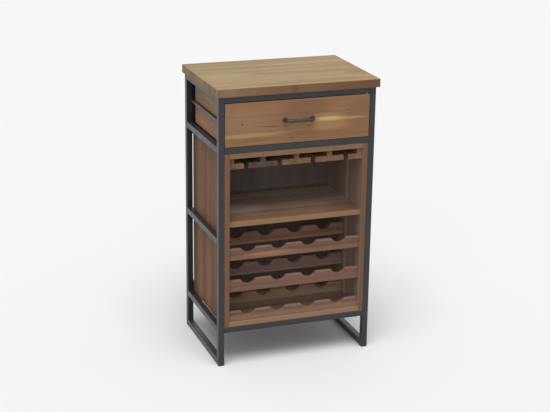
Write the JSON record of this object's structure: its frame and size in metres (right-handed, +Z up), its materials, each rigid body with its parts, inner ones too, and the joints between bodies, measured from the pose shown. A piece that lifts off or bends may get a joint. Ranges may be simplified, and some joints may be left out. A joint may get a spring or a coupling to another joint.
{
  "type": "wine cabinet",
  "caption": "Narrow free-standing wine cabinet: dark square-tube frame, wooden carcass and top, one drawer over a stemware rack, a shelf and notched bottle racks.",
  "frame": {"origin": "on the floor, under the middle of the bounding box with the drawer shut", "axes": "+Z up, -Y out of the front where the drawer opens, +X to the right of someone facing the front"},
  "size_m": [0.6, 0.444, 1.023],
  "materials": {
    "frame_paint": "satin",
    "handle_metal": "satin",
    "slab_wood": "matt oiled",
    "panel_wood": "matt oiled",
    "carcass_wood": "matt oiled",
    "drawer_wood": "matt oiled",
    "drawer_box_wood": "plain",
    "back_wood": "plain",
    "screw_steel": "plain",
    "glide_plastic": "matt"
  },
  "bodies": {
    "cabinet": {"back_panel": "back_wood", "back_rail_bottom": "frame_paint", "back_rail_top": "frame_paint", "bottle_rail_front_high": "carcass_wood", "bottle_rail_front_low": "carcass_wood", "bottle_rail_front_middle": "carcass_wood", "bottle_rail_rear_high": "carcass_wood", "bottle_rail_rear_low": "carcass_wood", "bottle_rail_rear_middle": "carcass_wood", "carcass_bottom_board": "carcass_wood", "carcass_top_board": "carcass_wood", "drawer_bay_back": "frame_paint", "frame_screws": "screw_steel", "front_rail_bottom": "frame_paint", "front_rail_drawer": "frame_paint", "front_rail_top": "frame_paint", "glass_board_centre": "carcass_wood", "glass_board_left": "carcass_wood", "glass_board_left_end": "carcass_wood", "glass_board_right": "carcass_wood", "glass_board_right_end": "carcass_wood", "glass_spacer_centre": "carcass_wood", "glass_spacer_left": "carcass_wood", "glass_spacer_left_end": "carcass_wood", "glass_spacer_right": "carcass_wood", "glass_spacer_right_end": "carcass_wood", "glide_back_left": "glide_plastic", "glide_back_right": "glide_plastic", "glide_front_left": "glide_plastic", "glide_front_right": "glide_plastic", "post_back_left": "frame_paint", "post_back_right": "frame_paint", "post_front_left": "frame_paint", "post_front_right": "frame_paint", "rack_screws": "screw_steel", "rear_bearer": "frame_paint", "runner_left": "frame_paint", "runner_right": "frame_paint", "shelf": "carcass_wood", "side_panel_left": "panel_wood", "side_panel_right": "panel_wood", "side_rail_bottom_left": "frame_paint", "side_rail_bottom_right": "frame_paint", "side_rail_drawer_left": "frame_paint", "side_rail_drawer_right": "frame_paint", "side_rail_floor_left": "frame_paint", "side_rail_floor_right": "frame_paint", "side_rail_middle_left": "frame_paint", "side_rail_middle_right": "frame_paint", "side_rail_top_left": "frame_paint", "side_rail_top_right": "frame_paint", "top_slab": "slab_wood"},
    "drawer": {"drawer_front": "drawer_wood", "drawer_side_left": "drawer_box_wood", "drawer_side_right": "drawer_box_wood", "drawer_back": "drawer_box_wood", "drawer_bottom": "drawer_box_wood", "drawer_handle": "handle_metal", "handle_screws": "screw_steel"}
  },
  "joints": [
    {"name": "drawer_slide", "type": "slide", "parent": "cabinet", "child": "drawer", "axis": [0, -1, 0], "range_m": [0, 0.22]}
  ]
}
